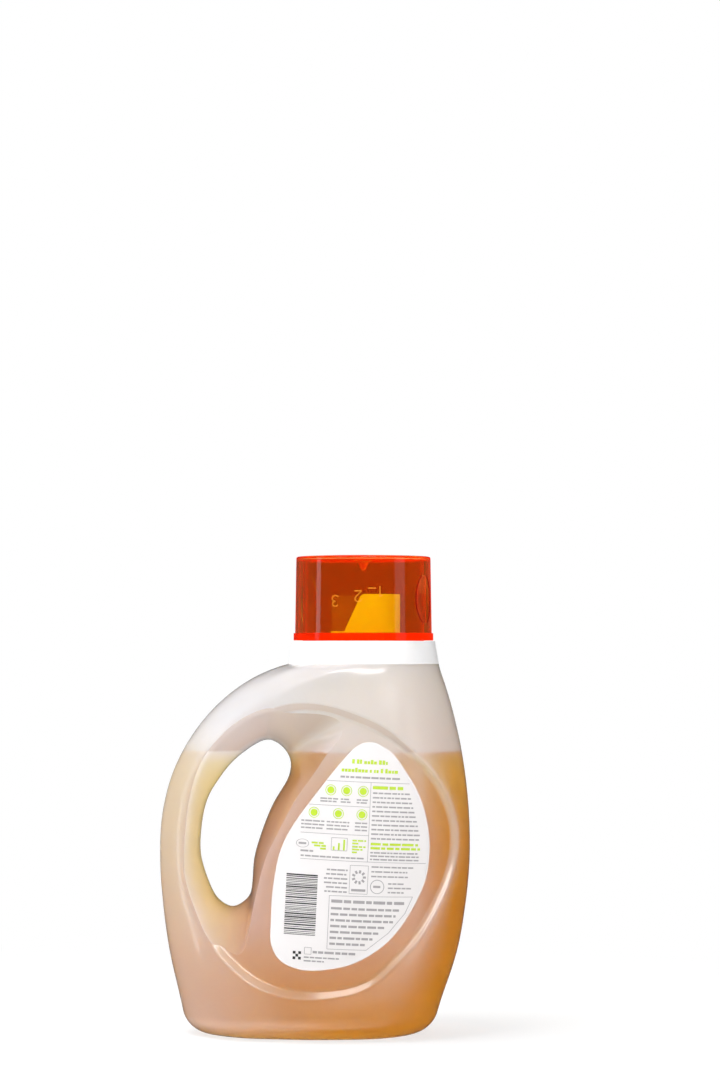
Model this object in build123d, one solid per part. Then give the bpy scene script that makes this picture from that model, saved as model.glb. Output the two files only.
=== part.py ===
"""Laundry detergent bottle with a through handle, a pour spout and a dosing cap.

The bottle is one blown shell, full of detergent to a fill line. Its closure is three
mouldings on the neck: a transition collar, a drain-back pour spout and a measuring cap.
Millimetres, Z up. The origin is the centre of the base, on the surface it stands on.
X runs from the handle to the pouring side. The label side faces -Y.
"""
from build123d import *
from math import atan2, cos, hypot, pi, sin, sqrt
import os

# Bottle: overall form
shoulder_height = 192.0
half_width = 80.9
half_depth = 52.0
crown_radius = 70.0
wall = 1.0
base_corner_radius = 15.0
base_push_up = 2.2
base_ring_width = 4.0
fill_share = 0.764

# Bottle: recess on both faces and the finger hole
recess_depth = 3.0
recess_band = 5.8
crest_radius = 2.0
foot_radius = 3.0
flare_power = 2.2

# Bottle: neck finish, on the axis of the closure
neck_x = 25.4
shoulder_radius = 39.5
neck_radius = 35.2
neck_wall = 1.2
neck_height = 10.0
neck_bead_height = 1.5
neck_bead_drop = 3.0
neck_bead_out = 0.8

# Label
label_thickness = 0.15
label_bond = 0.05

# Transition collar
collar_height = 12.0
collar_top_radius = 37.5
collar_wall = 1.3
collar_lip = 0.6
collar_hook_height = 1.2

# Pour spout
fit_clearance = 0.1
fitment_wall = 1.2
fitment_depth = 12.5
flange_height = 1.4
floor_thickness = 1.2
floor_fall = 2.0
spout_rise = 26.4
spout_wall = 1.3
spout_radius = 14.6
spout_reach = 19.2
spout_back = 16.6
spout_crest = 20.2
spout_crest_radius = 3.0
spout_low_rise = 7.0
spout_low_back = 9.8
drain_slot_width = 6.0

# Measuring cap
cap_height = 43.8
cap_clearance = 0.3
cap_top_radius = 35.2
cap_foot_radius = 35.8
cap_shell_wall = 1.5
cap_cup_radius = 31.7
cap_cup_wall = 1.3
cap_top_thickness = 1.8
cap_skirt_depth = 11.0
cap_rim_height = 3.8
cap_rim_out = 0.8
cap_edge_radius = 1.0
grip_height = 27.0
grip_depth = 2.3
grip_angle = -25.0

# Working values
liquid_gap = 0.1
overrun = 1.0
section_count = 16
half_points = 16
outline_points = 36
tool_near_share = 0.24
tool_far_share = 1.24

# Height, left edge, right edge, half depth, crown, crown slope, left and right end rounding.
# Heights are shares of the shoulder height. Edges and half depths are shares of the way from
# the shoulder's ring to the widest size, crowns are shares of neck_x, and roundings of its radius.
form_shares = [
    (0.000, 0.777, -0.279, 0.418, 0.080, 0.16, 1.063, 0.911),
    (0.104, 0.846, 0.125, 0.709, 0.236, 0.24, 0.963, 0.860),
    (0.219, 0.922, 0.580, 0.917, 0.471, 0.38, 0.733, 0.811),
    (0.339, 0.973, 0.848, 1.000, 0.669, 0.52, 0.506, 0.760),
    (0.469, 1.000, 1.000, 1.000, 0.787, 0.60, 0.354, 0.760),
    (0.583, 0.987, 0.990, 0.942, 0.828, 0.61, 0.330, 0.760),
    (0.703, 0.903, 0.858, 0.800, 0.866, 0.58, 0.354, 0.760),
    (0.792, 0.777, 0.681, 0.642, 0.905, 0.50, 0.455, 0.784),
    (0.870, 0.608, 0.464, 0.451, 0.946, 0.36, 0.633, 0.836),
    (0.927, 0.427, 0.277, 0.301, 0.956, 0.20, 0.811, 0.911),
    (0.966, 0.253, 0.100, 0.201, 0.968, 0.08, 0.936, 0.975),
]

# Places on a face: x as a share of half_width, z as a share of shoulder_height
recess_centre_shares = (0.107, 0.505)
recess_outline_shares = [
    (-0.310, 0.872), (-0.144, 0.895), (-0.029, 0.899), (0.118, 0.889), (0.257, 0.871), (0.484, 0.822),
    (0.653, 0.766), (0.820, 0.675), (0.913, 0.541), (0.879, 0.441), (0.788, 0.353), (0.566, 0.218),
    (0.225, 0.125), (-0.030, 0.113), (-0.286, 0.130), (-0.506, 0.186), (-0.652, 0.260), (-0.667, 0.315),
    (-0.628, 0.380), (-0.575, 0.466), (-0.527, 0.566), (-0.500, 0.666), (-0.470, 0.756), (-0.417, 0.828),
]

# Edge of the finger hole at the parting plane, and the rim that it flares out to on the face
finger_hole_shares = [
    ((-0.311, 0.794), (-0.286, 0.883)), ((-0.414, 0.774), (-0.441, 0.859)),
    ((-0.539, 0.731), (-0.613, 0.801)), ((-0.629, 0.682), (-0.732, 0.731)),
    ((-0.707, 0.617), (-0.797, 0.641)), ((-0.740, 0.518), (-0.826, 0.538)),
    ((-0.721, 0.453), (-0.833, 0.450)), ((-0.663, 0.387), (-0.790, 0.375)),
    ((-0.603, 0.354), (-0.725, 0.310)), ((-0.532, 0.341), (-0.607, 0.260)),
    ((-0.461, 0.354), (-0.464, 0.230)), ((-0.409, 0.387), (-0.393, 0.330)),
    ((-0.396, 0.453), (-0.321, 0.461)), ((-0.363, 0.518), (-0.250, 0.533)),
    ((-0.273, 0.617), (-0.120, 0.636)), ((-0.182, 0.682), (-0.000, 0.708)),
    ((-0.156, 0.731), (0.095, 0.766)), ((-0.188, 0.764), (0.183, 0.836)),
    ((-0.241, 0.785), (-0.036, 0.869)),
]
flare_level_shares = (-1.16, -0.92, -0.76, -0.62, -0.50, -0.38, -0.26, -0.14, 0.0,
                      0.14, 0.26, 0.38, 0.50, 0.62, 0.76, 0.92, 1.16)

label_outline_shares = [
    (0.354, 0.794), (0.266, 0.781), (0.225, 0.765), (0.081, 0.693), (-0.034, 0.630), (-0.128, 0.575),
    (-0.182, 0.534), (-0.223, 0.488), (-0.246, 0.438), (-0.265, 0.375), (-0.271, 0.303), (-0.274, 0.278),
    (-0.257, 0.245), (-0.212, 0.217), (-0.133, 0.199), (-0.034, 0.191), (0.086, 0.194), (0.225, 0.206),
    (0.364, 0.234), (0.464, 0.265), (0.564, 0.314), (0.642, 0.367), (0.703, 0.425), (0.728, 0.483),
    (0.730, 0.534), (0.712, 0.588), (0.674, 0.643), (0.624, 0.687), (0.564, 0.726), (0.494, 0.765),
    (0.434, 0.783),
]

# Sizes that follow from the ones above
ring_left = neck_x - shoulder_radius
ring_right = neck_x + shoulder_radius
fill_height = fill_share * shoulder_height
recess_lean = recess_band / recess_depth
neck_top = shoulder_height + neck_height
spout_top = neck_top + spout_rise
spout_low_top = neck_top + spout_low_rise
collar_top = shoulder_height + collar_height
fitment_radius = neck_radius - neck_wall - fit_clearance
fitment_bottom = neck_top - fitment_depth
cap_foot = collar_top + cap_clearance
cap_top = cap_foot + cap_height


def smooth_curve(places, values):
    """A function through the values, with the slope at each place set by its neighbours."""
    steps = [(values[i + 1] - values[i]) / (places[i + 1] - places[i]) for i in range(len(places) - 1)]
    slopes = []
    for before, after, left, right in zip(steps, steps[1:], places, places[2:]):
        middle = places[len(slopes) + 1]
        slopes.append((before * (right - middle) + after * (middle - left)) / (right - left))
    slopes = [2 * steps[0] - slopes[0]] + slopes + [2 * steps[-1] - slopes[-1]]

    def value(place):
        i = max(0, min(len(places) - 2, sum(1 for start in places[1:] if start <= place)))
        width = places[i + 1] - places[i]
        t = (place - places[i]) / width
        rise = values[i + 1] - values[i]
        run_in = slopes[i] * width
        run_out = slopes[i + 1] * width
        bend = t * t * (3 - 2 * t) * rise + t * (1 - t) ** 2 * run_in - t * t * (1 - t) * run_out
        return values[i] + bend

    return value


def form_curves():
    """Left edge, right edge, half depth, crown, crown slope and end roundings by height."""
    rows = []
    for height, left, right, depth, crown, slope, left_round, right_round in form_shares:
        rows.append((height * shoulder_height, ring_left - left * (half_width + ring_left),
                     ring_right + right * (half_width - ring_right),
                     shoulder_radius + depth * (half_depth - shoulder_radius), crown * neck_x, slope,
                     left_round * shoulder_radius, right_round * shoulder_radius))
    rows.append((shoulder_height, ring_left, ring_right, shoulder_radius, neck_x, 0,
                 shoulder_radius, shoulder_radius))
    columns = list(zip(*rows))
    return [smooth_curve(columns[0], column) for column in columns[1:]]


curves = form_curves()


def steepness(curve, z):
    """How much longer a level step is than the wall it crosses, where the form slopes."""
    rise = (curve(z + overrun) - curve(z - overrun)) / (2 * overrun)
    return min(hypot(1, rise), 3)


def ends(z, inset):
    left, right = curves[0], curves[1]
    return left(z) + inset * steepness(left, z), right(z) - inset * steepness(right, z)


def depth_at(x, z, inset=0, sunk=0):
    """Half depth of the form at a place, set in by a wall and sunk by a recess."""
    depth, crown, slope, left_round, right_round = [curve(z) for curve in curves[2:]]
    left, right = ends(z, inset + sunk)
    turn = slope * crown_radius
    depth -= inset * steepness(curves[2], z) + sunk
    depth -= slope * (hypot(turn, x - crown) - turn)
    for into, rounding in ((x - left, left_round - inset), (right - x, right_round - inset)):
        if into < rounding:
            depth *= sqrt(max(0, 1 - ((rounding - into) / rounding) ** 2))
    return depth


def closed_curve(points):
    """A closed curve through points that share one even spacing with its neighbours."""
    spacing = [i / len(points) for i in range(len(points) + 1)]
    return Wire([Edge.make_spline(points, periodic=True, parameters=spacing)])


def section(z, level, inset=0, sunk=0):
    """The level outline of the form at height z, drawn at the given level."""
    left, right = ends(z, inset + sunk)
    middle, reach = (left + right) / 2, (right - left) / 2
    points = []
    for i in range(2 * half_points):
        angle = pi * i / half_points
        x = middle + reach * cos(angle - sin(2 * angle) / 4)
        y = 0 if i in (0, half_points) else depth_at(x, z, inset, sunk)
        points.append(Vector(x, y if i < half_points else -y, level))
    return closed_curve(points)


def blown_form(bottom, top, inset=0, sunk=0):
    """The smooth form between two heights, before its recesses and finger hole."""
    levels = [bottom + (top - bottom) * i / section_count for i in range(section_count + 1)]
    return Solid.make_loft([section(z, z, inset, sunk) for z in levels])


def recess_radius():
    """Distance of the recess outline from its centre, by angle."""
    centre_x, centre_z = recess_centre_shares[0] * half_width, recess_centre_shares[1] * shoulder_height
    polar = []
    for x_share, z_share in recess_outline_shares:
        across, up = x_share * half_width - centre_x, z_share * shoulder_height - centre_z
        polar.append((atan2(up, across), hypot(across, up)))
    polar.sort()
    angles = [angle for angle, radius in polar]
    radii = [radius for angle, radius in polar]
    angles = [angles[-1] - 2 * pi] + angles + [angles[0] + 2 * pi, angles[1] + 2 * pi]
    radii = [radii[-1]] + radii + [radii[0], radii[1]]
    return smooth_curve(angles, radii)


def recess_cone(side, inset):
    """The leaning wall of one face's recess, as a solid that opens outwards."""
    centre_x, centre_z = recess_centre_shares[0] * half_width, recess_centre_shares[1] * shoulder_height
    radius_at = recess_radius()
    shift = inset * hypot(1, recess_lean) / recess_lean
    rings = []
    for level in (tool_near_share * half_depth, tool_far_share * half_depth):
        points = []
        for i in range(outline_points):
            angle = 2 * pi * i / outline_points - pi
            radius = radius_at(angle)
            face = depth_at(centre_x + radius * cos(angle), centre_z + radius * sin(angle)) - shift
            radius += (level - face) * recess_lean
            across, up = radius * cos(angle), radius * sin(angle)
            points.append(Vector(centre_x + across, side * level, centre_z + up))
        rings.append(closed_curve(points))
    return Solid.make_loft(rings, ruled=True)


def flare_offset(share):
    """How far the flare has opened at a share of its depth: rolled at the middle, straight past the rim."""
    if share < 1:
        return share ** flare_power
    return 1 + flare_power * (share - 1)


def rim_depth(rim):
    """Half depth of the face under a rim point, which is lower inside the recess."""
    across = rim.X - recess_centre_shares[0] * half_width
    up = rim.Z - recess_centre_shares[1] * shoulder_height
    inside = hypot(across, up) < recess_radius()(atan2(up, across))
    return depth_at(rim.X, rim.Z) - (recess_depth if inside else 0)


def finger_hole(inset):
    """The hourglass-shaped void through the handle side, grown by the wall for the inside."""
    holes = [Vector(hole[0] * half_width, 0, hole[1] * shoulder_height) for hole, rim in finger_hole_shares]
    rims = [Vector(rim[0] * half_width, 0, rim[1] * shoulder_height) for hole, rim in finger_hole_shares]
    paths = []
    for before, hole, after, rim in zip(holes[-1:] + holes, holes, holes[1:] + holes[:1], rims):
        along = after - before
        outward = Vector(along.Z, 0, -along.X).normalized() * inset
        start = hole + outward
        paths.append((start, rim + outward * flare_power - start, rim_depth(rim)))
    sections = []
    for level_share in flare_level_shares:
        level = level_share * half_depth
        points = []
        for start, spread, depth in paths:
            point = start + spread * flare_offset(abs(level) / depth)
            points.append(Vector(point.X, level, point.Z))
        sections.append(closed_curve(points))
    return Solid.make_loft(sections)


def base_dish(inset):
    """The push-up under the base, grown by the wall for the inside."""
    margin = base_corner_radius + base_ring_width - inset
    foot = section(0, -overrun, margin)
    head = section(0, base_push_up + inset, margin + base_push_up)
    return Solid.make_loft([foot, head], ruled=True)


def bottle_body(bottom, top, inset):
    """The bottle below its neck: the outside at no inset, the inside at one wall."""
    body = blown_form(bottom, top, inset)
    body = body.fillet(base_corner_radius - inset, [body.edges().sort_by(Axis.Z)[0]])
    floor = blown_form(bottom, top, inset, recess_depth)
    for side in (-1, 1):
        body = body - (recess_cone(side, inset) - floor)
    return body


def soften_recess(body):
    """Rounds the crest and then the foot of the recess on each face."""
    for radius, pick in ((crest_radius, -1), (foot_radius, 0)):
        for side in (-1, 1):
            loops = [edge for edge in body.edges() if edge.length > 4 * half_width]
            loops = [edge for edge in loops if side * edge.center().Y > shoulder_radius / 10]
            body = body.fillet(radius, [sorted(loops, key=lambda edge: edge.length)[pick]])
    return body


def closure_cylinder(radius, bottom, top):
    return Pos(neck_x, 0, bottom) * extrude(Circle(radius), top - bottom)


def closure_ring(profile):
    """A ring about the neck axis, from (radius, height) points."""
    return Pos(neck_x, 0, 0) * revolve(Plane.XZ * make_face(Polyline(*profile, close=True)), Axis.Z)


def neck():
    """The neck over the shoulder, with the bead that holds the collar."""
    bead_top = neck_top - neck_bead_drop
    bead = closure_cylinder(neck_radius + neck_bead_out, bead_top - neck_bead_height, bead_top)
    return closure_cylinder(neck_radius, shoulder_height - overrun, neck_top) + bead


def hollow(inset):
    """The inside of the bottle, set in from its outside, with its handle, up to the neck."""
    room = bottle_body(inset, shoulder_height - inset, inset)
    return room - finger_hole(inset) - base_dish(inset)


def bottle():
    shell = soften_recess(bottle_body(0, shoulder_height, 0))
    shell = shell - finger_hole(0) - base_dish(0)
    shell = shell + neck()
    shell = shell - hollow(wall)
    bore = closure_cylinder(neck_radius - neck_wall, shoulder_height - wall - overrun, neck_top + overrun)
    return shell - bore


def detergent():
    """The liquid, up to its fill line in the body and in the handle."""
    full = hollow(wall + liquid_gap)
    room = Pos(0, 0, fill_height / 2) * Box(4 * half_width, 4 * half_depth, fill_height)
    return full & room


def back_label():
    """A thin drop-shaped sheet that lies on the floor of the label side's recess."""
    points = [Vector(x * half_width, 0, z * shoulder_height) for x, z in label_outline_shares]
    outline = Face(Wire([Edge.make_spline(points, periodic=True)]))
    blank = Solid.extrude(outline, Vector(0, -2 * half_depth, 0))
    under = recess_depth - label_bond
    sheet = blank & blown_form(0, shoulder_height, 0, under - label_thickness)
    return sheet - blown_form(0, shoulder_height, 0, under)


def transition_collar():
    """The ring that snaps over the neck bead and carries the line of the shoulder to the cap."""
    hook_top = neck_top - neck_bead_drop - neck_bead_height - fit_clearance
    hook_foot = hook_top - collar_hook_height
    hook_radius = neck_radius + fit_clearance
    lip_foot = neck_top + flange_height + fit_clearance
    mouth = neck_radius - collar_lip
    lean = (shoulder_radius - collar_top_radius) / collar_height

    def inner(height):
        return shoulder_radius - collar_wall - lean * (height - shoulder_height)

    profile = [
        (shoulder_radius, shoulder_height), (collar_top_radius, collar_top), (mouth, collar_top),
        (mouth, lip_foot), (inner(lip_foot), lip_foot), (inner(hook_top), hook_top), (hook_radius, hook_top),
        (hook_radius, hook_foot), (inner(hook_foot), hook_foot), (inner(shoulder_height), shoulder_height),
    ]
    return closure_ring(profile)


def spout_tube(inset, bottom):
    """The round-fronted spout channel, square at the back."""
    radius = spout_radius - inset
    front = neck_x + spout_reach - spout_radius
    back = neck_x - spout_back + inset
    height = spout_top - bottom
    round_front = Pos(front, 0, bottom) * extrude(Circle(radius), height)
    run = Pos((front + back) / 2, 0, bottom + height / 2) * Box(front - back, 2 * radius, height)
    return round_front + run


def slab(profile, width):
    """A solid as wide as given across Y, from (x, height) points."""
    return Pos(0, width / 2, 0) * extrude(Plane.XZ * make_face(Polyline(*profile, close=True)), width)


def pour_spout():
    """The fitment in the neck: a flange, a wall, a falling floor and the open-backed spout."""
    flange_top = neck_top + flange_height
    inner = fitment_radius - fitment_wall
    profile = [
        (fitment_radius, fitment_bottom), (fitment_radius, neck_top), (neck_radius, neck_top),
        (neck_radius, flange_top), (inner, flange_top), (inner, fitment_bottom),
    ]
    low = fitment_bottom + floor_thickness
    left, right = neck_x - fitment_radius, neck_x + fitment_radius
    floor_profile = [(left, low), (right, low + floor_fall), (right, fitment_bottom), (left, fitment_bottom)]
    floor = slab(floor_profile, 2 * fitment_radius)
    floor = floor & closure_cylinder(inner + fit_clearance, fitment_bottom, flange_top)
    underside = [(left, low - floor_thickness), (right, low + floor_fall - floor_thickness),
                 (right, fitment_bottom - overrun), (left, fitment_bottom - overrun)]
    floor = floor - slab(underside, 2 * fitment_radius)
    crest = neck_x + spout_reach - spout_crest
    low_end = neck_x - spout_low_back
    back = neck_x - spout_back
    above = [(crest, spout_top), (crest, spout_top + overrun), (back - overrun, spout_top + overrun),
             (back - overrun, spout_low_top), (low_end, spout_low_top)]
    spout = spout_tube(0, low - floor_thickness / 2)
    spout = spout - slab(above, 4 * spout_radius)
    crest_edge = spout.edges().filter_by(Axis.Y).group_by(Axis.Z)[-1].sort_by(Axis.X)[0]
    spout = spout.fillet(spout_crest_radius, [crest_edge])
    drain = Pos(back, 0, spout_low_top) * Box(4 * spout_wall, drain_slot_width, 2 * (spout_low_top - low))
    fitment = closure_ring(profile) + floor + (spout - drain)
    return fitment - spout_tube(spout_wall, fitment_bottom - overrun)


def grip_ball(angle, grow):
    """A ball that meets the cap's side in a shallow oval, as high as the thumb grip."""
    radius = (grip_height ** 2 / 4 + grip_depth ** 2) / (2 * grip_depth)
    place = Rot(0, 0, angle) * Pos(cap_foot_radius + radius - grip_depth, 0, (cap_foot + cap_top) / 2)
    return Pos(neck_x, 0, 0) * place * Sphere(radius + grow)


def measuring_cap():
    """The dosing cap: a cup with its threaded skirt, inside an outer shell, joined at the top."""
    cup_inner = cap_cup_radius - cap_cup_wall
    skirt_foot = collar_top - cap_skirt_depth
    rim_radius, rim_top = cap_foot_radius + cap_rim_out, cap_foot + cap_rim_height
    shell_top, shell_foot = cap_top_radius - cap_shell_wall, cap_foot_radius - cap_shell_wall
    underside = cap_top - cap_top_thickness
    profile = [
        (0, underside), (cup_inner, underside), (cup_inner, skirt_foot), (cap_cup_radius, skirt_foot),
        (cap_cup_radius, underside), (shell_top, underside), (shell_foot, cap_foot), (rim_radius, cap_foot),
        (rim_radius, rim_top), (cap_foot_radius, rim_top), (cap_top_radius, cap_top), (0, cap_top),
    ]
    cap = closure_ring(profile)
    rounds = cap.edges().filter_by(GeomType.CIRCLE)
    cap = cap.fillet(cap_edge_radius, rounds.group_by(Axis.Z)[-1])
    gap = closure_cylinder(cap_top_radius - cap_shell_wall / 2, rim_top, underside)
    gap = gap - closure_cylinder(cap_cup_radius, rim_top, underside)
    for angle in (grip_angle, grip_angle + 180):
        cap = cap + (gap & grip_ball(angle, cap_shell_wall)) - grip_ball(angle, 0)
    return cap


pieces = {
    "bottle": bottle,
    "detergent": detergent,
    "back_label": back_label,
    "transition_collar": transition_collar,
    "pour_spout": pour_spout,
    "measuring_cap": measuring_cap,
}
os.makedirs("parts", exist_ok=True)
for name, make in pieces.items():
    export_step(make(), f"parts/{name}.step")
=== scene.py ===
import math
import random
import bpy
from mathutils import Euler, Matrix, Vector
from mathutils.bvhtree import BVHTree


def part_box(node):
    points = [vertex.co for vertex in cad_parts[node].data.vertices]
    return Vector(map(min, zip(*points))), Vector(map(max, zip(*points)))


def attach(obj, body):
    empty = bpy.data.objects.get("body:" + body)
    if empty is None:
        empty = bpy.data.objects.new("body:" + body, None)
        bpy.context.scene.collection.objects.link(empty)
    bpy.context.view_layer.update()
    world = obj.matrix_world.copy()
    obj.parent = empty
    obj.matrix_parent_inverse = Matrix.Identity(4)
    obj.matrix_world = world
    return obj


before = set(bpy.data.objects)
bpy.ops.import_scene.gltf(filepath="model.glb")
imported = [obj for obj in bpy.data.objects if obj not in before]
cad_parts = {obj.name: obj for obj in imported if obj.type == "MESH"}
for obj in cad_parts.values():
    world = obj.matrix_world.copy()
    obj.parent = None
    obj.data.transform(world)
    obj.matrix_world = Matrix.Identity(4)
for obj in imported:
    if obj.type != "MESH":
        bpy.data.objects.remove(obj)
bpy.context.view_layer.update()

mm = 0.001
scene = bpy.context.scene

# Studio: the camera stands level with the collar, 1.6 m in front of the label side, and looks
# up a little, so the bottle sits low in the frame. The floor and the air round it are white.
# Softboxes stand above, in front, at both sides and behind. Most light comes from behind left.
camera_distance = 1615 * mm
camera_height = 199.2 * mm
camera_aside = 23.6 * mm
camera_tilt_up = math.radians(2.05)
camera_lens_mm = 102.6
camera_sensor_mm = 36
camera_reach = 100
floor_half = 6.0

camera_data = bpy.data.cameras.new("studio_camera")
camera_data.lens = camera_lens_mm
camera_data.sensor_width = camera_sensor_mm
camera_data.clip_end = camera_reach
camera = bpy.data.objects.new("studio_camera", camera_data)
camera.location = (camera_aside, -camera_distance, camera_height)
camera.rotation_euler = Euler((math.pi / 2 + camera_tilt_up, 0, 0))
scene.collection.objects.link(camera)
scene.camera = camera
scene.view_settings.view_transform = "Standard"
scene.cycles.max_bounces = 24
scene.cycles.diffuse_bounces = 12
scene.cycles.glossy_bounces = 6
scene.cycles.transmission_bounces = 20
scene.cycles.transparent_max_bounces = 24
scene.cycles.caustics_reflective = True
scene.cycles.caustics_refractive = True


def softbox(name, place, target, width, height, watts, tint, mirrored=True):
    """A rectangular area lamp that points at a target."""
    lamp = bpy.data.lights.new(name, "AREA")
    lamp.shape = "RECTANGLE"
    lamp.size, lamp.size_y = width, height
    lamp.energy = watts
    lamp.color = tint
    holder = bpy.data.objects.new(name, lamp)
    holder.location = place
    holder.rotation_euler = (Vector(target) - Vector(place)).to_track_quat("-Z", "Y").to_euler()
    holder.visible_transmission = False
    holder.visible_glossy = mirrored
    scene.collection.objects.link(holder)
    return holder


middle = (0, 0, 120 * mm)
softbox("top_softbox", (-0.35, -0.25, 1.4), middle, 0.5, 0.5, 17.0, (0.93, 0.965, 1.0), mirrored=False)
softbox("key_softbox", (-0.95, -1.15, 0.95), middle, 0.7, 0.6, 2.7, (0.97, 0.985, 1.0))
softbox("fill_softbox", (0.9, -1.5, 0.55), middle, 0.9, 0.8, 11.0, (1.0, 0.99, 0.98), mirrored=False)
front = softbox("front_softbox", (0.25, -1.1, 1.05), middle, 1.4, 0.45, 20.0, (1.0, 0.99, 0.98))
front.visible_diffuse = False
softbox("back_softbox", (-0.9, 1.2, 0.45), middle, 1.0, 1.0, 4.5, (1.0, 1.0, 1.0), mirrored=False)
softbox("left_strip", (-1.3, -0.2, 0.4), middle, 0.22, 1.0, 1.4, (0.96, 0.98, 1.0))
softbox("right_strip", (1.15, -0.55, 0.4), middle, 0.45, 1.0, 1.2, (1.0, 0.97, 0.97))


def nodes_of(owner):
    """An empty node tree, and a function that adds a node with its settings and input values."""
    owner.use_nodes = True
    tree = owner.node_tree
    tree.nodes.clear()

    def add(kind, inputs=None, **settings):
        node = tree.nodes.new(kind)
        for key, value in settings.items():
            setattr(node, key, value)
        for key, value in (inputs or {}).items():
            if isinstance(value, bpy.types.NodeSocket):
                tree.links.new(value, node.inputs[key])
            else:
                node.inputs[key].default_value = value
        return node

    return tree, add


def ramp(add, value, start, end, low=0.0, high=1.0, **settings):
    """A number that goes from low to high while the value goes from start to end."""
    return add("ShaderNodeMapRange", {0: value, 1: start, 2: end, 3: low, 4: high}, **settings).outputs[0]


def reckon(add, operation, first, second=0.0):
    """One sum on two numbers."""
    return add("ShaderNodeMath", {0: first, 1: second}, operation=operation).outputs[0]


def layered(add, share, under, over):
    """Two shaders, of which the second has the given share."""
    return add("ShaderNodeMixShader", {0: share, 1: under.outputs[0], 2: over.outputs[0]})


def close_tree(tree, add, shader, kind="Material"):
    """Hands a shader to the tree's output."""
    tree.links.new(shader.outputs[0], add("ShaderNodeOutput" + kind).inputs["Surface"])


# The air is brightest behind left. It is dim where gloss or the cap shows it, and the camera
# sees it plain white.
white = (1.0, 1.0, 1.0, 1.0)
brightest_side = (-0.57, 0.81, 0.13)
world = bpy.data.worlds.new("studio_air")
scene.world = world
tree, add = nodes_of(world)
rays = add("ShaderNodeLightPath")
direction = add("ShaderNodeTexCoord").outputs["Generated"]
towards = add("ShaderNodeVectorMath", {0: direction, 1: brightest_side}, operation="DOT_PRODUCT")
lit_strength = ramp(add, towards.outputs["Value"], -0.1, 0.9, low=0.20, high=1.66)
gloss_strength = ramp(add, towards.outputs["Value"], 0.0, 0.9, low=0.03, high=0.07)
lit = add("ShaderNodeBackground", {"Color": white, "Strength": lit_strength})
gloss = add("ShaderNodeBackground", {"Color": white, "Strength": gloss_strength})
seen_through = add("ShaderNodeBackground", {"Color": white, "Strength": 0.10})
backdrop = add("ShaderNodeBackground", {"Color": white, "Strength": 1.0})
air = layered(add, rays.outputs["Is Glossy Ray"], lit, gloss)
air = layered(add, rays.outputs["Is Transmission Ray"], air, seen_through)
air = layered(add, rays.outputs["Is Camera Ray"], air, backdrop)
close_tree(tree, add, air, "World")

# The floor glows white to the camera, a little less by the bottle, so that a faint shadow shows.
floor_grey = (0.80, 0.80, 0.80, 1.0)
shadow_full_within = 0.12
shadow_gone_beyond = 0.5
glow_by_bottle = 0.72
floor_mesh = bpy.data.meshes.new("studio_floor")
corners = [(x * floor_half, y * floor_half, 0) for x, y in ((-1, -1), (1, -1), (1, 1), (-1, 1))]
floor_mesh.from_pydata(corners, [], [(0, 1, 2, 3)])
floor = bpy.data.objects.new("studio_floor", floor_mesh)
scene.collection.objects.link(floor)
floor_finish = bpy.data.materials.new("white_floor")
tree, add = nodes_of(floor_finish)
rays = add("ShaderNodeLightPath")
away = add("ShaderNodeVectorMath", {0: add("ShaderNodeTexCoord").outputs["Object"]}, operation="LENGTH")
fade = ramp(add, away.outputs["Value"], shadow_full_within, shadow_gone_beyond, low=glow_by_bottle,
            interpolation_type="SMOOTHSTEP")
share = reckon(add, "MULTIPLY", rays.outputs["Is Camera Ray"], fade)
matte = add("ShaderNodeBsdfDiffuse", {"Color": floor_grey})
glow = add("ShaderNodeEmission", {"Color": white, "Strength": 1.0})
close_tree(tree, add, layered(add, share, matte, glow))
floor.data.materials.append(floor_finish)
floor.visible_glossy = False


# Bottle: one blown shell of natural polyethylene, about 1 mm thick and milky. Light passes
# through it but no shape behind it shows. Where the detergent wets the wall inside, the wall
# looks darker and amber. The neck, the handle and the push-up are part of the same shell.
fill_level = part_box("detergent")[1].z
milky = (0.90, 0.905, 0.95, 1.0)
# Painted shade: a greyer tone for the outside of the wall where it turns down over the recess.
painted_shade_tone = (0.72, 0.64, 0.61, 1.0)
wetted = (0.97, 0.93, 0.90, 1.0)
bloom = (0.80, 0.80, 0.93, 1.0)
dry_wall_passes = 0.60
veiled_wall_passes = 0.73
clear_wall_passes = 1.0
wall_roughness = 0.32
waterline = (fill_level + 0.8 * mm, fill_level - 0.4 * mm)
parting_line = (0.45 * mm, 0.1 * mm)


def dress(node, material):
    """Gives a CAD node its finish."""
    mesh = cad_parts[node].data
    mesh.materials.clear()
    mesh.materials.append(material)
    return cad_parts[node]


def tones(add, share, first, second):
    """A colour between two others."""
    return add("ShaderNodeMix", {0: share, 6: first, 7: second}, data_type="RGBA").outputs[2]


def noise(add, scale, detail=2.0):
    """A cloudy pattern that is fixed to the piece."""
    place = add("ShaderNodeTexCoord").outputs["Object"]
    return add("ShaderNodeTexNoise", {"Vector": place, "Scale": scale, "Detail": detail}).outputs["Fac"]


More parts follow.
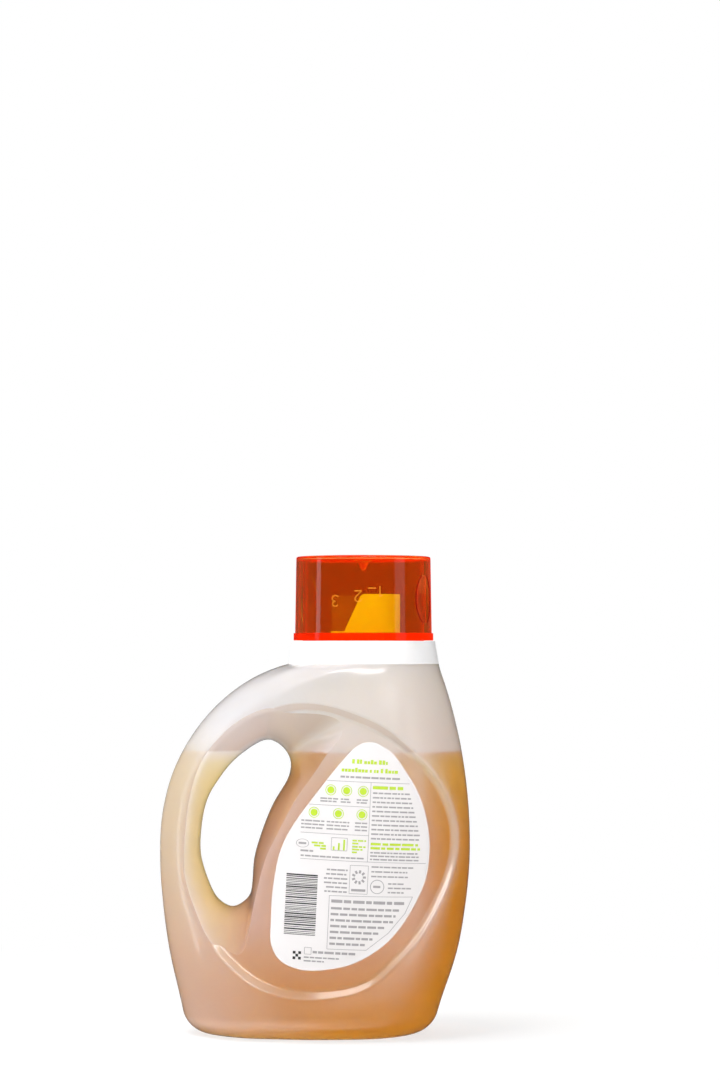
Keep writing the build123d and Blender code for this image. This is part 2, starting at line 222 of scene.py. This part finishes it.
def blown_wall():
    material = bpy.data.materials.new("milky_polyethylene")
    tree, add = nodes_of(material)
    axes = add("ShaderNodeSeparateXYZ", {0: add("ShaderNodeTexCoord").outputs["Object"]})
    facing = add("ShaderNodeSeparateXYZ", {0: add("ShaderNodeTexCoord").outputs["Normal"]})
    height = axes.outputs["Z"]
    wet = ramp(add, height, *waterline)

    # The wall's colour: painted shade where the outside turns down over the recess, and warmer where wet.
    outward = reckon(add, "MULTIPLY", axes.outputs["Y"], facing.outputs["Y"])
    outside = ramp(add, outward, 0.0, 6 * mm)
    turned_down = ramp(add, facing.outputs["Z"], -0.15, -0.5)
    dry = tones(add, reckon(add, "MULTIPLY", turned_down, outside), milky, painted_shade_tone)
    patchy = ramp(add, noise(add, scale=18.0, detail=3.0), 0.3, 0.7, low=0.97, high=1.03)
    tint = tones(add, wet, dry, wetted)
    colour = add("ShaderNodeVectorMath", {0: tint, 3: patchy}, operation="SCALE").outputs[0]

    # Its skin: a faint line where the mould's halves met, and the slight unevenness of blowing.
    parting = ramp(add, reckon(add, "ABSOLUTE", axes.outputs["Y"]), *parting_line)
    flash = add("ShaderNodeBump", {"Height": parting, "Strength": 0.7, "Distance": 0.25 * mm})
    skin = add("ShaderNodeBump", {
        "Height": noise(add, scale=240.0), "Strength": 0.06, "Distance": 0.4 * mm,
        "Normal": flash.outputs[0]}).outputs[0]
    body = add("ShaderNodeBsdfPrincipled", {
        "Base Color": tones(add, wet, colour, bloom), "Roughness": wall_roughness, "IOR": 1.5,
        "Coat Weight": 0.3, "Coat Roughness": 0.2, "Normal": skin})
    through = add("ShaderNodeBsdfTranslucent", {"Color": colour, "Normal": skin})

    # How much light it lets through. A white veil lies on the wet faces and by the handle, as if
    # the wall were thicker there. The model's wall is even.
    on_face = ramp(add, reckon(add, "ABSOLUTE", facing.outputs["Y"]), 0.5, 0.84, high=0.9)
    over_base = ramp(add, height, 4 * mm, 60 * mm)
    by_handle = ramp(add, axes.outputs["X"], 10 * mm, -60 * mm)
    veil = reckon(add, "MAXIMUM", reckon(add, "MULTIPLY", on_face, over_base), by_handle)
    wet_passes = ramp(add, veil, 0.0, 1.0, low=clear_wall_passes, high=veiled_wall_passes)
    passes = ramp(add, wet, 0.0, 1.0, low=dry_wall_passes, high=wet_passes)

    # The gloss lies on the outer side only. The inner side is left clear.
    satin = ramp(add, height, 155 * mm, 180 * mm, low=0.11, high=0.22)
    sheen = add("ShaderNodeBsdfGlossy", {"Color": white, "Roughness": satin, "Normal": skin})
    rim = add("ShaderNodeFresnel", {"IOR": 1.46, "Normal": skin}).outputs[0]
    outer = layered(add, rim, layered(add, passes, body, through), sheen)
    inner = add("ShaderNodeBsdfTransparent", {"Color": white})
    side = add("ShaderNodeNewGeometry").outputs["Backfacing"]
    close_tree(tree, add, layered(add, side, outer, inner))
    return material


dress("bottle", blown_wall())


# Detergent: a clear amber liquid that fills the body and the handle to one level. It takes
# the blue out of the light first, so thin places glow gold and the thick middle is brown.
liquid_tint = (0.990, 0.862, 0.0, 1.0)
liquid_density = 72.0


def amber_liquid():
    material = bpy.data.materials.new("amber_liquid")
    tree, add = nodes_of(material)
    clear = add("ShaderNodeBsdfTransparent", {"Color": white})
    inside = add("ShaderNodeVolumeAbsorption", {"Color": liquid_tint, "Density": liquid_density})
    out = add("ShaderNodeOutputMaterial")
    tree.links.new(clear.outputs[0], out.inputs["Surface"])
    tree.links.new(inside.outputs[0], out.inputs["Volume"])
    return material


dress("detergent", amber_liquid())


# Back label: a drop-shaped film label with a satin face, stuck to the floor of the recess on
# one side. Its print is bars, rings and fields in green, grey and black inks.
def opaque_finish(name, pair, surface, scale, detail=2.0):
    """A finish of one kind of plastic or ink, whose tone drifts a little between two colours."""
    material = bpy.data.materials.new(name)
    tree, add = nodes_of(material)
    tone = tones(add, noise(add, scale, detail), *pair)
    close_tree(tree, add, add("ShaderNodeBsdfPrincipled", {"Base Color": tone, **surface}))
    return material


film_tones = ((0.81, 0.775, 0.765, 1.0), (0.84, 0.81, 0.80, 1.0))
film_surface = {"Roughness": 0.42, "IOR": 1.45}
dress("back_label", opaque_finish("label_film", film_tones, film_surface, scale=60.0, detail=4.0))


# Label print: flat fields in green, grey and black ink on the film, set a little off level as
# on the label. Words are rows of dashes, symbols are discs in rings, and the code is plain bars.
print_tilt = math.radians(2.7)
print_origin = Vector((8.45 * mm, 0, 98.2 * mm))
print_across = Vector((math.cos(print_tilt), 0, -math.sin(print_tilt)))
print_up = Vector((math.sin(print_tilt), 0, math.cos(print_tilt)))
ink_thickness = 0.07 * mm
in_front_of_label = -200 * mm
ink_step = 2.2
hair = 0.24
dash_dice = random.Random(11)
label_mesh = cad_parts["back_label"].data
label_surface = BVHTree.FromPolygons(
    [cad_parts["back_label"].matrix_world @ vertex.co for vertex in label_mesh.vertices],
    [list(face.vertices) for face in label_mesh.polygons])
inks = {"green": ([], []), "grey": ([], []), "black": ([], [])}


def on_label(across, up):
    """The point on the film's face at a place in the print, in millimetres across and up."""
    place = print_origin + print_across * across * mm + print_up * up * mm
    hit = label_surface.ray_cast(Vector((place.x, in_front_of_label, place.z)), Vector((0, 1, 0)))[0]
    return None if hit is None else hit - Vector((0, ink_thickness, 0))


def sheet(ink, rows):
    """A strip of quads between rows of places. Quads that leave the label are left out."""
    points, faces = inks[ink]
    for lower, upper in zip(rows, rows[1:]):
        for i in range(len(lower) - 1):
            corners = [on_label(*place) for place in (lower[i], lower[i + 1], upper[i + 1], upper[i])]
            if None not in corners:
                faces.append(tuple(range(len(points), len(points) + 4)))
                points.extend(corners)


def field(ink, left, low, right, high):
    """A plain rectangle of ink."""
    across = max(1, math.ceil((right - left) / ink_step))
    tall = max(1, math.ceil((high - low) / ink_step))
    sheet(ink, [[(left + (right - left) * i / across, low + (high - low) * j / tall)
                 for i in range(across + 1)] for j in range(tall + 1)])


def stroke(ink, places, width=hair):
    """A thin line of ink along a run of places."""
    for start, end in zip(places, places[1:]):
        along = Vector(end) - Vector(start)
        side = Vector((-along.y, along.x)).normalized() * width / 2
        steps = max(1, math.ceil(along.length / ink_step))
        run = [Vector(start) + along * i / steps for i in range(steps + 1)]
        sheet(ink, [[tuple(place - side) for place in run], [tuple(place + side) for place in run]])


def ring(ink, across, up, outer, inner, flatness=1.0, steps=32):
    """A ring of ink, or a disc where the inner radius is zero."""
    turns = [2 * math.pi * i / steps for i in range(steps + 1)]
    sheet(ink, [[(across + radius * math.cos(turn), up + radius * flatness * math.sin(turn))
                 for turn in turns] for radius in (outer, inner)])


def words(ink, left, right, level, height=0.75):
    """A row of dashes of uneven length, in place of a line of words."""
    start = left
    while start < right - height:
        end = min(right, start + height * dash_dice.uniform(1.4, 5.0))
        field(ink, start, level - height / 2, end, level + height / 2)
        start = end + height * dash_dice.uniform(0.45, 0.7)


def headline(left, right, level):
    """A row of short green blocks of uneven width and height, in place of a heading."""
    start = left
    while start < right - 0.8:
        end = min(right, start + dash_dice.uniform(0.9, 1.7))
        tall = dash_dice.choice((1.5, 1.5, 2.2))
        foot = level - 1.1
        field("green", start, foot, end, foot + tall)
        start = end + dash_dice.choice((0.35, 0.35, 0.35, 1.1))


def print_head():
    headline(9.1, 27.3, 45.0)
    headline(3.9, 32.8, 40.7)
    words("grey", 3.5, 33.8, 37.0, 1.0)
    for left, right, level in ((-3.4, 41, 34.7), (-12, 19.2, 22.2), (-15.5, 19.2, 7.8), (-15, 49, -5.5)):
        stroke("grey", [(left, level), (right, level)])
    stroke("grey", [(19.2, 34.7), (19.2, -5.5)])


def print_symbols():
    for level, centres in ((30.0, (-1.1, 7.0, 15.4)), (18.2, (-9.1, 3.3, 15.3))):
        for centre in centres:
            ring("green", centre, level, 2.75, 2.4)
            ring("green", centre, level, 1.8, 0)
    for centre, width in ((-1.7, 9), (6.7, 5), (15.1, 5.6)):
        for level in (25.6, 24.2):
            words("grey", centre - width / 2, centre + width / 2, level)
    for left, right in ((-15.4, -3.6), (-2.4, 9.1), (12.0, 18.2)):
        for level in (13.9, 12.1, 10.3):
            words("grey", left, right, level)


def print_steps():
    ring("grey", -14.2, 2.3, 3.3, 3.0, flatness=0.66)
    words("grey", -16.2, -11.6, 2.3, 1.0)
    words("grey", -15.1, -8.6, -1.4, 0.9)
    for left, right, level in ((-9.6, -2.1, 2.9), (-8.3, -2.2, 1.5), (-5.1, -2.2, 0.1)):
        words("green", left, right, level, 0.9)
    stroke("grey", [(0.5, -0.4), (0.5, 6), (8.5, 6), (8.5, -0.4), (0.5, -0.4)])
    for left, high in ((1.3, 1.6), (3.9, 3.4), (6.5, 5.2)):
        field("green", left, -0.2, left + 0.9, high)
    for right, level in ((18.1, 5.0), (14.2, 3.6), (17.9, 1.9), (16.7, 0.5), (13.6, -0.9)):
        words("green", 11.1, right, level, 0.8)
    words("grey", -14.9, 18.3, -3.9, 0.8)


def print_column():
    words("green", 20.2, 35.7, 32.2, 1.6)
    for row in range(11):
        words("grey", 20.4, 39.2 + 0.7 * row, 29.4 - 2.3 * row, 0.8)
    words("green", 20.4, 44.6, 3.7, 1.2)
    words("green", 20.4, 45.7, 1.6, 1.2)
    for level in (-0.7, -2.4, -4.1):
        words("grey", 20.4, 45.2, level)


def print_code():
    """Plain bars of even length, as on a shop code, without its digits."""
    left, right, level, foot = -21.6, -5.6, -13.4, -44
    while level > foot:
        thick = dash_dice.choice((0.3, 0.3, 0.45, 0.7))
        field("black", left, level - thick, right, level)
        level -= thick + dash_dice.choice((0.35, 0.45, 0.6))


def print_foot():
    for row in range(6):
        words("grey", -2.6 + dash_dice.uniform(0, 3), 9.4, -10.2 - 2.2 * row, 0.8)
    stroke("grey", [(10.6, -21.8), (10.6, -7.5), (19.8, -7.5), (19.8, -21.8), (10.6, -21.8)])
    centre = Vector((15.2, -13.4))
    for i in range(9):
        turn = Vector((math.cos(i * math.pi / 4.5), math.sin(i * math.pi / 4.5)))
        stroke("grey", [tuple(centre + turn * 2.0), tuple(centre + turn * 3.6)], 1.1)
    field("grey", 11.6, -20.6, 18.8, -19.4)
    ring("grey", 24.7, -17.9, 3.6, 3.25)
    words("grey", 22.7, 26.7, -17.9, 1.1)
    for left, right, level in ((21.4, 43, -7.9), (21.4, 39.8, -10.3), (21.4, 41.2, -12.7),
                               (30.2, 38.1, -16.2), (30.2, 42, -18.4), (30.2, 38.5, -20.6)):
        words("grey", left, right, level)
    stroke("grey", [(0.7, -23.3), (43, -22.6), (39.5, -31), (31.5, -41.2), (20.6, -50.2), (0.7, -50.4),
                    (0.7, -23.3)])
    words("grey", 1.8, 39.2, -26.0, 1.5)
    for row, right in enumerate((36.8, 34.8, 33.6, 29.4, 26.4, 23.6, 19.8)):
        words("grey", 1.8, right, -29.6 - 3.0 * row, 1.15)
    cell = 1.4
    for column in range(3):
        for row in range(3):
            if (column + row) % 2 == 0:
                left, low = -16.5 + cell * column, -56.6 + cell * row
                field("black", left, low, left + cell, low + cell)
    stroke("grey", [(-10.6, -53.6), (-10.6, -50.2), (-7.2, -50.2), (-7.2, -53.6), (-10.6, -53.6)])
    words("grey", -6.4, 15.2, -52.4, 1.2)
    words("grey", -10.8, 8.0, -55.2)
    words("grey", -10.8, -0.5, -57.0)


def piece_from(name, points, faces, material, body, slot, smooth=False):
    """A mesh object that rides a body of the frame."""
    mesh = bpy.data.meshes.new(name)
    mesh.from_pydata([tuple(point) for point in points], [], faces)
    mesh.materials.append(material)
    mesh.polygons.foreach_set("use_smooth", [smooth] * len(mesh.polygons))
    piece = bpy.data.objects.new(name, mesh)
    scene.collection.objects.link(piece)
    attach(piece, body)
    return piece


for draw in (print_head, print_symbols, print_steps, print_column, print_code, print_foot):
    draw()
ink_tones = {
    "green": ((0.46, 0.66, 0.02, 1.0), (0.56, 0.76, 0.03, 1.0)),
    "grey": ((0.34, 0.32, 0.32, 1.0), (0.42, 0.40, 0.40, 1.0)),
    "black": ((0.02, 0.02, 0.02, 1.0), (0.05, 0.045, 0.045, 1.0)),
}
ink_surface = {"Roughness": 0.5, "IOR": 1.45}
for ink, (points, faces) in inks.items():
    finish = opaque_finish(ink + "_ink", ink_tones[ink], ink_surface, scale=900.0)
    piece_from(ink + "_print", points, faces, finish, "bottle_body", "label")


# Transition collar: a white moulded ring that snaps over the neck bead and carries the line of
# the shoulder up to the cap.
collar_tones = ((0.90, 0.885, 0.88, 1.0), (0.93, 0.92, 0.915, 1.0))
collar_surface = {
    "Roughness": 0.34, "IOR": 1.49, "Subsurface Weight": 0.15, "Subsurface Scale": 2 * mm,
    "Subsurface Radius": (1.0, 0.9, 0.8)}
dress("transition_collar", opaque_finish("white_collar", collar_tones, collar_surface, scale=25.0))


# Pour spout: a yellow moulded fitment pressed into the neck. Its open-backed spout stands in a
# well whose floor falls to a slot, so drips run back into the bottle.
spout_tones = ((0.97, 0.88, 0.010, 1.0), (0.99, 0.92, 0.015, 1.0))
spout_surface = {
    "Roughness": 0.38, "IOR": 1.49, "Subsurface Weight": 0.3, "Subsurface Scale": 2 * mm,
    "Subsurface Radius": (1.0, 0.6, 0.2)}
dress("pour_spout", opaque_finish("yellow_spout", spout_tones, spout_surface, scale=30.0))


# Measuring cap: a clear orange-red moulding, a cup with its threaded skirt inside an outer
# shell. It screws into the pour spout's wall, and upside down it measures a dose.
cap_tint = (0.925, 0.77, 0.18, 1.0)
cap_light = (1.0, 0.96, 0.80, 1.0)
cap_glow = (1.0, 0.03, 0.0, 1.0)
cap_low, cap_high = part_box("measuring_cap")
skirt_length = 11 * mm
cap_foot = cap_low.z + skirt_length


def cap_plastic():
    material = bpy.data.materials.new("clear_orange_red")
    tree, add = nodes_of(material)
    clear = add("ShaderNodeBsdfPrincipled", {
        "Base Color": cap_tint, "Transmission Weight": 1.0, "Roughness": 0.03, "IOR": 1.49,
        "Specular IOR Level": 0.35})
    glow = add("ShaderNodeBsdfTranslucent", {"Color": cap_glow})

    # The plastic looks hazy and red where there is much of it in the line of sight.
    height = add("ShaderNodeSeparateXYZ", {0: add("ShaderNodeTexCoord").outputs["Object"]}).outputs["Z"]
    at_foot = ramp(add, height, cap_foot + 4.4 * mm, cap_foot + 3.8 * mm, low=0.045, high=0.62)
    at_crown = ramp(add, height, cap_high.z - 3 * mm, cap_high.z - 1.5 * mm, high=0.35)
    slant = add("ShaderNodeLayerWeight", {"Blend": 0.5}).outputs["Facing"]
    at_edge = ramp(add, slant, 0.6, 0.9, high=0.5)
    haze = reckon(add, "MAXIMUM", reckon(add, "MAXIMUM", at_foot, at_crown), at_edge)

    # Light for shadows and matt surfaces goes straight through it, so the spout inside is lit.
    rays = add("ShaderNodeLightPath")
    lamp = reckon(add, "MAXIMUM", rays.outputs["Is Shadow Ray"], rays.outputs["Is Diffuse Ray"])
    lets = add("ShaderNodeBsdfTransparent", {"Color": cap_light})
    close_tree(tree, add, layered(add, lamp, layered(add, haze, clear, glow), lets))
    return material


dress("measuring_cap", cap_plastic())


# Cap details: raised figures and a level line on the cup, which stand upside down while the cap
# is on, the gate mark under its crown, and the thread ridges on its skirt. All are part of the
# same moulding. The pour spout's wall carries the matching thread ridge on its inside.
axis_x = (cap_low.x + cap_high.x) / 2
cup_radius = 31.7 * mm
spout_wall_radius = 32.7 * mm
crown_underside = cap_high.z - 1.8 * mm
figure_width = 3.8 * mm
figure_height = 3.5 * mm
# Each figure, its degrees round the neck and its level in millimetres.
figure_places = (("3", -27.2, 227.4), ("2", -4.9, 229.7), ("1", 16.1, 232.2))
level_line = [(-1.75, -0.32), (-0.65, -0.32)]
stroke_width = 0.62 * mm
stroke_rise = 0.3 * mm
stroke_pieces = 4
ridge_section = ((-0.5, -0.2), (-0.5, 0.25), (-0.22, 0.9), (0.22, 0.9), (0.5, 0.25), (0.5, -0.2))
thread_pitch = 4 * mm
thread_width = 1.2 * mm
thread_rise = 0.48 * mm
thread_end_sink = 0.3 * mm
thread_end_steps = 6
steps_per_turn = 48
figure_strokes = {
    "1": [[(0.25, 1.28), (0.62, 1.6), (0.62, 0.0)]],
    "2": [[(0.03, 1.15), (0.12, 1.42), (0.34, 1.58), (0.62, 1.58), (0.86, 1.42), (0.93, 1.15), (0.82, 0.85),
           (0.5, 0.5), (0.2, 0.2), (0.03, 0.0), (1.0, 0.0)]],
    "3": [[(0.05, 1.38), (0.25, 1.56), (0.52, 1.6), (0.8, 1.48), (0.88, 1.22), (0.74, 0.95), (0.42, 0.86)],
          [(0.42, 0.86), (0.78, 0.76), (0.94, 0.46), (0.8, 0.14), (0.48, 0.0), (0.2, 0.05), (0.0, 0.22)]],
}


def round_the_axis(turn, height, radius):
    """A point on a cylinder about the neck's axis. Turn 0 faces the label side."""
    return Vector((axis_x + radius * math.sin(turn), -radius * math.cos(turn), height))


def ridge_run(points, faces, path, outward, width, rise):
    """Adds one half-round ridge along a path on a wall, with closed ends."""
    first = len(points)
    for i, (place, out) in enumerate(zip(path, outward)):
        before, after = path[max(0, i - 1)], path[min(len(path) - 1, i + 1)]
        side = (after - before).cross(out).normalized()
        for across, up in ridge_section:
            points.append(place + side * across * width + out * up * rise)
    ring_size = len(ridge_section)
    for i in range(len(path) - 1):
        for j in range(ring_size):
            a, b = first + i * ring_size + j, first + i * ring_size + (j + 1) % ring_size
            faces.append((a, b, b + ring_size, a + ring_size))
    last = first + (len(path) - 1) * ring_size
    faces.append(tuple(first + j for j in reversed(range(ring_size))))
    faces.append(tuple(last + j for j in range(ring_size)))


def cup_figures():
    """The three figures and the top level line, as runs of ridge on the cup's wall."""
    points, faces = [], []
    for figure, degrees, level in figure_places:
        runs = [[(0.5 - u, -v) for u, v in stroke] for stroke in figure_strokes[figure]]
        if figure == "1":
            runs.append(level_line)
        for run in runs:
            smooth = []
            for (u0, v0), (u1, v1) in zip(run, run[1:]):
                smooth += [(u0 + (u1 - u0) * k / stroke_pieces, v0 + (v1 - v0) * k / stroke_pieces)
                           for k in range(stroke_pieces)]
            smooth.append(run[-1])
            turns = [math.radians(degrees) + u * figure_width / cup_radius for u, v in smooth]
            path = [round_the_axis(turn, level * mm + v * figure_height, cup_radius)
                    for turn, (u, v) in zip(turns, smooth)]
            outward = [Vector((math.sin(turn), -math.cos(turn), 0)) for turn in turns]
            ridge_run(points, faces, path, outward, stroke_width, stroke_rise)
    return points, faces


def thread_ridge(radius, start, turns, sign):
    """One thread ridge, a helix that fades at its ends. A sign of -1 turns it to the inside."""
    points, faces = [], []
    steps = int(turns * steps_per_turn)
    path, outward = [], []
    for i in range(steps + 1):
        turn = 2 * math.pi * turns * i / steps
        fade = min(1.0, i / thread_end_steps, (steps - i) / thread_end_steps)
        out = Vector((math.sin(turn), -math.cos(turn), 0)) * sign
        height = start + thread_pitch * turn / (2 * math.pi)
        path.append(round_the_axis(turn, height, radius) - out * thread_end_sink * (1 - fade))
        outward.append(out)
    ridge_run(points, faces, path, outward, thread_width, thread_rise)
    return points, faces


def gate_mark():
    """A small turned boss under the crown, where the plastic was let into the mould."""
    profile = [(5.2, 0.0), (4.9, 0.5), (3.3, 0.8), (2.6, 1.6), (1.9, 3.2), (1.3, 4.6), (0.8, 5.2)]
    around = 40
    turns = [2 * math.pi * i / around for i in range(around)]
    points = [round_the_axis(turn, crown_underside - drop * mm, radius * mm)
              for radius, drop in profile for turn in turns]
    faces = []
    for row in range(0, around * (len(profile) - 1), around):
        for j in range(around):
            after = (j + 1) % around
            faces.append((row + j, row + after, row + around + after, row + around + j))
    faces.append(tuple(reversed(range(around))))
    faces.append(tuple(around * (len(profile) - 1) + j for j in range(around)))
    return points, faces


# Painted highlight: a pale orange stands in for the light that the small raised details catch.
painted_highlight_tones = ((1.0, 0.62, 0.40, 1.0), (1.0, 0.74, 0.55, 1.0))
pale_highlight_glow = (1.0, 0.76, 0.55, 1.0)
deep_glow = (1.0, 0.05, 0.0, 1.0)


def cap_moulding(name, glow_tint, glow_share, roughness):
    """The cap's plastic on its small details: a pale tone that is painted highlight, mixed with a
    translucent glow.
    """
    material = bpy.data.materials.new(name)
    tree, add = nodes_of(material)
    tone = tones(add, noise(add, scale=200.0), *painted_highlight_tones)
    clear = add("ShaderNodeBsdfPrincipled", {
        "Base Color": tone, "Transmission Weight": 0.6, "Roughness": roughness, "IOR": 1.49})
    glow = add("ShaderNodeBsdfTranslucent", {"Color": glow_tint})
    close_tree(tree, add, layered(add, glow_share, clear, glow))
    return material


figure_finish = cap_moulding("moulded_figures", pale_highlight_glow, glow_share=0.60, roughness=0.12)
gate_finish = cap_moulding("moulded_gate", deep_glow, glow_share=0.80, roughness=0.25)
thread_finish = cap_moulding("moulded_thread", deep_glow, glow_share=0.45, roughness=0.2)
spout_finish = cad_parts["pour_spout"].data.materials[0]
cup_thread = thread_ridge(cup_radius, start=194.6 * mm, turns=1.6, sign=1)
wall_thread = thread_ridge(spout_wall_radius, start=194.9 * mm, turns=1.5, sign=-1)
piece_from("cup_figures", *cup_figures(), figure_finish, "cap", "cap", smooth=True)
piece_from("cup_gate_mark", *gate_mark(), gate_finish, "cap", "cap", smooth=True)
piece_from("cap_thread", *cup_thread, thread_finish, "cap", "cap", smooth=True)
piece_from("spout_thread", *wall_thread, spout_finish, "bottle_body", "spout", smooth=True)
